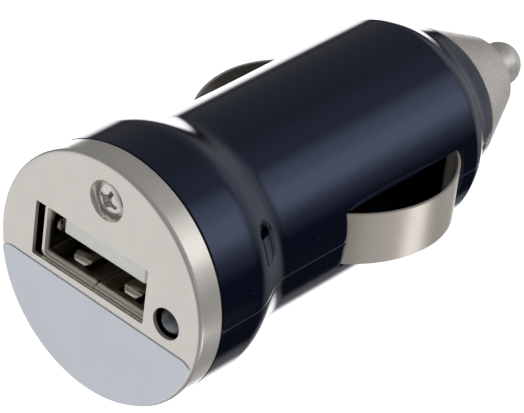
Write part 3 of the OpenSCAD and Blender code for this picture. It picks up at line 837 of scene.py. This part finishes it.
class PLUG_OT_port_tongue(bpy.types.Operator):
    """Pale tongue in the port with the grooves of its contacts"""

    bl_idname = "plug.port_tongue"
    bl_label = "Port tongue"

    def execute(self, context):
        colours = settings()[1]
        y, z = PORT_ACROSS, PORT_ABOVE
        plan = ((1.5, -4.85), (2.2, -5.55), (11.6, -5.55), (11.6, 5.55), (2.2, 5.55), (1.5, 4.85))
        tongue = sheeted("port_insulator", [at(x, y + aside, z) for x, aside in plan],
                         Vector((0, 0, 1.84 * MM)))
        outline = rounded_outline(y, z, 12.4, 5.0, 0.35)
        back = sheeted("back", [at(11.4, across, above) for across, above in outline], along(2.55))
        for part, start in ((tongue, 2.5), (back, 11.0)):
            for aside in CONTACTS_ASIDE:
                carve(part, brick("groove", (start, y + aside - 0.6, z - 0.2),
                                  (14.2, y + aside + 0.6, z + 0.6)))
        join(tongue, back)
        soften(tongue, 0.1 * MM, segments=3, angle=40)
        place(tongue, "plug", "usb_insulator", tongue_finish(colours.tongue))
        return {"FINISHED"}


def body_loop():
    """Closed profile of the body's wall, skin first."""
    skin = [(0.45, 11.65), (2.93, 11.65), (2.93, 12.14), (2.99, CAP_RADIUS)]
    # The neck runs down in one soft double bend
    skin += [(7.3 + 0.4 * i, 11.2 + math.cos(math.pi * i / 16)) for i in range(17)]
    skin += [(20.95, 10.2), (39.7, 10.1)]
    skin += arc(38.4178, 4.9574, 5.3, 14, 40, 8)[1:]
    # The shoulder flows into the collar
    start, pull, end = (41.825, 9.0175), (42.705, 8.279), (43.7, 7.936)
    for t in (i / 6 for i in range(1, 7)):
        skin.append(tuple((1 - t) ** 2 * a + 2 * t * (1 - t) * b + t * t * c
                          for a, b, c in zip(start, pull, end)))
    skin += [(45.33, 7.374), (45.4, 7.30), (45.4, 4.9), (48.6, 4.9)]
    hollow = [(48.6, 3.5), (42.0, 3.5), (42.0, 6.9), (38.5, 8.9), (12.7, 8.9), (7.1, 10.6),
              (2.75, 10.6), (2.75, 10.35), (0.45, 10.35)]
    return skin + hollow + skin[:1]


class PLUG_OT_body(bpy.types.Operator):
    """Two moulded halves of the body with the springs' slots and the snap hooks"""

    bl_idname = "plug.body"
    bl_label = "Body"

    def execute(self, context):
        sizes, colours = settings()
        plastic = plastic_finish(colours.plastic)
        for name, node, sweep in (("upper_shell", "body_upper", 180),
                                  ("lower_shell", "body_lower", -180)):
            half = turned(name, body_loop(), sweep=sweep, steps=ROUND_STEPS // 2)
            # The seam's edges are rounded before the slots are cut
            soften(half, 0.08 * MM, angle=50, clamp=False)
            cutters = []
            for side in (-1, 1):
                cutters += [
                    side_brick("slot", side, (21.45, 4.45, -SLOT_HALF), (37.85, 20, SLOT_HALF)),
                    side_brick("pocket", side, (20.25, 7.7, -SLOT_HALF), (21.65, 9.7, SLOT_HALF)),
                ]
                if sweep > 0:
                    room = ((9.2, 8.0), (11.45, 8.0), (11.45, 9.85), (9.2, 9.85))
                    window = [at(x, side * 7.9, z) for x, z in HOOK_WINDOW]
                    cutters += [
                        sector("room", room, -1, 38, side),
                        sheeted("window", window, Vector((0, side * 5 * MM, 0))),
                    ]
            carve(half, *cutters)
            right_way_out(half)
            extras = self.upper_parts() if sweep > 0 else self.lower_parts()
            soften(half, sizes.edge, segments=3, angle=50)
            for extra in extras:
                soften(extra, 0.05 * MM)
            join(half, *extras)
            place(half, "plug", node, plastic)
        return {"FINISHED"}

    def upper_parts(self):
        """The screw's boss."""
        profile = [(1.35, 0.9), (1.35, 2.0), (8.35, 2.0), (8.35, 0), (7.75, 0), (7.75, 0.9)]
        return [turned("boss", profile + profile[:1], z=SCREW_ABOVE, steps=TINY_ROUND_STEPS)]

    def lower_parts(self):
        """The snap hooks, and the posts that hold the springs' feet."""
        hook = ((9.3, 9.0), (11.35, 9.0), (11.35, 9.75), (9.3, 9.75))
        tooth = ((9.33, 9.6), (11.08, 9.6), (11.08, 10.9), (10.2, 11.31), (9.33, 11.71))
        parts = []
        for side in (-1, 1):
            parts += [
                sector("hook", hook, -14, 30.2, side),
                sector("tooth", tooth, 16.2, 29.4, side),
                side_brick("post", side, (21.87, 5.2, -6.0), (22.87, 7.0, -0.05)),
            ]
        return parts


def strip_path():
    """Outer face of the spring strip as (station, distance from the axis), foot to lip."""
    crest, front_y, front_r, rear_y, rear_r = 30.0, 1.15, 12.0, 3.75, 9.4
    foot_r, tail_r, hook_r = 0.8, 1.0, 0.4
    foot = polar(crest, front_y, front_r - foot_r, -44)
    tail = polar(crest, rear_y, rear_r - tail_r, 50)
    lip = polar(*polar(*tail, tail_r, 80), 0.65, 170)
    hook = polar(*lip, hook_r, 80)
    path = [(foot[0] - foot_r, 6.6), (foot[0] - foot_r, 8.0)]
    path += arc(*foot, foot_r, -90, -44, 8)
    path += arc(crest, front_y, front_r, -44, 0, 40)[1:]
    path += arc(crest, rear_y, rear_r, 0, 50, 44)[1:]
    path += arc(*tail, tail_r, 50, 80, 6)[1:]
    path += arc(*hook, hook_r, 260, 190, 10)
    return path + [polar(*path[-1], 0.9, 100)]


class PLUG_OT_springs(bpy.types.Operator):
    """Bowed spring strips on both sides of the barrel"""

    bl_idname = "plug.springs"
    bl_label = "Side springs"

    def execute(self, context):
        colours = settings()[1]
        left = drawn("left_spring", [at(x, y, -STRIP_HALF) for x, y in strip_path()])
        edit(left)
        push = Vector((0, 0, 2 * STRIP_HALF * MM))
        bpy.ops.mesh.extrude_region_move(TRANSFORM_OT_translate={"value": push})
        bpy.ops.mesh.select_all(action="SELECT")
        done()
        # The crest's face points outwards, so the wall grows towards the axis
        crest = left.data.polygons[len(left.data.polygons) // 2]
        thicken(left, STRIP_WALL, -1 if crest.normal.y > 0 else 1)
        right_way_out(left)
        right = across(left, "right_spring")
        steel = strip_finish(colours.spring)
        for piece, body, node in ((left, "left_clip", "ground_clip_left"),
                                  (right, "right_clip", "ground_clip_right")):
            soften(piece, 0.06 * MM, angle=40)
            place(piece, body, node, steel)
        return {"FINISHED"}


class PLUG_OT_nose(bpy.types.Operator):
    """Turned nose ring and the sprung tip in it"""

    bl_idname = "plug.nose"
    bl_label = "Nose ring and tip"

    def execute(self, context):
        colours = settings()[1]
        rear = [(45.45, 4.95), (45.42, 7.12), (45.46, 7.24), (45.56, 7.30), (45.68, 7.24)]
        nose = [(52.0, 4.15), (52.33, 3.85), (52.33, 2.33), (50.9, 2.33)]
        ring = turned("cone_ring", [*rear, *nose, (50.9, 3.5), (48.7, 3.5), (48.7, 4.95), rear[0]])
        soften(ring, 0.05 * MM, angle=30)
        place(ring, "plug", "nose_ring", cone_finish(colours.cone))
        radius = 2.25
        dome = arc(55.07, 0, radius, 0, 90, 15)
        pin = turned("sprung_pin", [(48.3, 0), (48.3, 1.7), (49.8, 1.7), (49.8, 3.2), (50.85, 3.2),
                                    (50.85, radius), *dome], steps=96)
        soften(pin, 0.05 * MM, angle=40)
        place(pin, "tip", "tip_pin", pin_finish(colours.pin))
        return {"FINISHED"}


class PLUG_OT_inside(bpy.types.Operator):
    """Finishes of the board and the parts on it, which keep their CAD shapes"""

    bl_idname = "plug.inside"
    bl_label = "Inside"

    def execute(self, context):
        black = mould_finish("chip_mould_black", (0.02, 0.02, 0.022), 0.55)
        brass = plated_finish("contact_brass_bright", (0.78, 0.58, 0.26), 0.34, (30, 30, 1))
        finishes = {
            "usb_contacts": brass,
            "spring_terminal": brass,
            "circuit_board": board_finish(),
            "regulator_chip": black,
            "rectifier_diode": black,
            "chip_resistors": black,
            "choke_core": mould_finish("ferrite_dull", (0.06, 0.06, 0.065), 0.65, 0.3),
            "choke_winding": plated_finish("copper_lacquered", (0.60, 0.25, 0.10), 0.34,
                                           (20, 20, 1)),
            "input_capacitor": sleeve_finish(),
            "output_capacitor": sleeve_finish(),
            "chip_capacitors": mould_finish("chip_ceramic_tan", (0.38, 0.26, 0.14), 0.5),
            "tip_spring": plated_finish("spring_wire_bright", (0.55, 0.55, 0.57), 0.34),
        }
        for node, material in finishes.items():
            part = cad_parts[node]
            part.data.materials.clear()
            part.data.materials.append(material)
        return {"FINISHED"}


# ---------------------------------------------------------------- stage

CAMERA_PLACE = (-0.241905, -0.185494, 0.219936)
CAMERA_RIGHT = (0.67270414, -0.73226248, 0.10611689)
CAMERA_DOWN = (-0.3659902, -0.45395135, -0.81239113)
CAMERA_AHEAD = (0.64305545, 0.50766114, -0.57337584)
# Soft lights that only shiny surfaces see: azimuth from +X towards +Y, height, inner and
# outer half angle, brightness
SOFT_LOBES = (
    (-43, 29, 3, 25, 0.80),
    (-47, 26, 3, 13, 0.40),
    (-36, 32, 18, 44, 0.14),
    (-2, 2, 12, 34, 0.29),
    (-3, -18, 8, 26, 0.26),
    (45, -25, 14, 21, 3.0),
    (138, -35, 28, 70, 0.96),
    (6, -50, 4, 14, 0.32),
    (34, -40, 6, 20, 2.0),
    (-57, -35, 4, 12, 2.20),
    (-88, -35, 12, 26, 0.28),
)


def heading(azimuth, height):
    a, h = math.radians(azimuth), math.radians(height)
    return Vector((math.cos(h) * math.cos(a), math.cos(h) * math.sin(a), math.sin(h)))


class PLUG_OT_stage(bpy.types.Operator):
    """Pale floor, soft light and the camera"""

    bl_idname = "plug.stage"
    bl_label = "Stage"

    def execute(self, context):
        sizes = settings()[0]
        self.floor()
        self.sky(context.scene)
        clear()
        aim = heading(-62, 15)
        spot = at(MIDDLE) + aim * 0.5
        turn = aim.to_track_quat("Z", "Y").to_euler()
        bpy.ops.object.light_add(type="AREA", location=spot, rotation=turn)
        softbox = bpy.context.object
        softbox.name = "softbox"
        softbox.data.shape, softbox.data.size = "SQUARE", sizes.light_size
        softbox.data.energy = sizes.light_power
        softbox.visible_glossy = False
        self.camera(context.scene)
        context.scene.view_settings.view_transform = "Standard"
        return {"FINISHED"}

    def floor(self):
        """Plain pale floor that lights neither the plug nor its reflections."""
        clear()
        bpy.ops.mesh.primitive_plane_add(size=4, location=(0, 0, 0))
        floor = named("floor")
        f = Finish("floor_pale", (0.86, 0.86, 0.86), roughness=0.9)
        cloud = f.noise(40, detail=2.0)
        f.tint(f.spread(cloud, 0.0, 1.0), (0.85, 0.85, 0.85), (0.87, 0.87, 0.87))
        f.set("Emission Color", (1, 1, 1, 1))
        f.set("Emission Strength", 0.90)
        floor.data.materials.append(f.mat)
        floor.visible_glossy = floor.visible_diffuse = False

    def sky(self, scene):
        """Soft light all round, and the soft lights that shiny surfaces see."""
        world = scene.world or bpy.data.worlds.new("studio")
        scene.world = world
        world.use_nodes = True
        sky = Nodes(world.node_tree)
        direction = sky.add("ShaderNodeTexCoord").outputs["Generated"]
        rise = sky.part(direction, "Z")
        bright = sky.spread(rise, 0.01, 0.20, -0.12, 0.10, curve="SMOOTHSTEP")
        for azimuth, height, inner, outer, light in SOFT_LOBES:
            near = sky.towards(direction, heading(azimuth, height))
            rim, core = math.cos(math.radians(outer)), math.cos(math.radians(inner))
            lobe = sky.spread(near, 0.0, light, rim, core, curve="SMOOTHSTEP")
            bright = sky.count("ADD", bright, lobe)
        shiny = sky.add("ShaderNodeBackground")
        sky.link(bright, shiny.inputs["Strength"])
        plain = sky.add("ShaderNodeBackground")
        soft = sky.spread(rise, 1.35, 0.40, -0.4, 0.4, curve="SMOOTHSTEP")
        sky.link(soft, plain.inputs["Strength"])
        mix = sky.add("ShaderNodeMixShader")
        sky.link(sky.add("ShaderNodeLightPath").outputs["Is Glossy Ray"], mix.inputs[0])
        sky.link(plain.outputs[0], mix.inputs[1])
        sky.link(shiny.outputs[0], mix.inputs[2])
        sky.link(mix.outputs[0], sky.add("ShaderNodeOutputWorld").inputs[0])

    def camera(self, scene):
        """Long lens at the photograph's viewing angle."""
        clear()
        bpy.ops.object.camera_add()
        camera = bpy.context.object
        camera.name = "camera"
        axes = Vector(CAMERA_RIGHT), -Vector(CAMERA_DOWN), -Vector(CAMERA_AHEAD)
        matrix = camera.matrix_world.copy()
        for column, axis in enumerate((*axes, Vector(CAMERA_PLACE))):
            for row in range(3):
                matrix[row][column] = axis[row]
        camera.matrix_world = matrix
        camera.data.sensor_fit, camera.data.sensor_width = "HORIZONTAL", 36.0
        camera.data.lens = 274.81
        camera.data.clip_start, camera.data.clip_end = 0.02, 10.0
        scene.camera = camera


# ---------------------------------------------------------------- panel and registration

STEPS = (
    PLUG_OT_face_cap, PLUG_OT_cap_screw, PLUG_OT_rating_label, PLUG_OT_status_light, PLUG_OT_port,
    PLUG_OT_port_tongue, PLUG_OT_body, PLUG_OT_springs, PLUG_OT_nose, PLUG_OT_inside, PLUG_OT_stage,
)


class PLUG_PT_tools(bpy.types.Panel):
    """Lists the plug's pieces"""

    bl_idname = "PLUG_PT_tools"
    bl_label = "Car charger plug"
    bl_space_type = "VIEW_3D"
    bl_region_type = "UI"
    bl_category = "Plug"

    def draw(self, context):
        layout = self.layout
        for group in (context.scene.plug_sizes, context.scene.plug_colours):
            for key in group.__annotations__:
                layout.prop(group, key)
        for step in STEPS:
            layout.operator(step.bl_idname)


CLASSES = (PlugSizes, PlugColours, *STEPS, PLUG_PT_tools)


def register():
    for cls in CLASSES:
        bpy.utils.register_class(cls)
    bpy.types.Scene.plug_sizes = PointerProperty(type=PlugSizes)
    bpy.types.Scene.plug_colours = PointerProperty(type=PlugColours)


def unregister():
    del bpy.types.Scene.plug_colours
    del bpy.types.Scene.plug_sizes
    for cls in reversed(CLASSES):
        bpy.utils.unregister_class(cls)


def main():
    register()
    for step in STEPS:
        group, name = step.bl_idname.split(".")
        getattr(getattr(bpy.ops, group), name)()


if __name__ == "__main__":
    main()
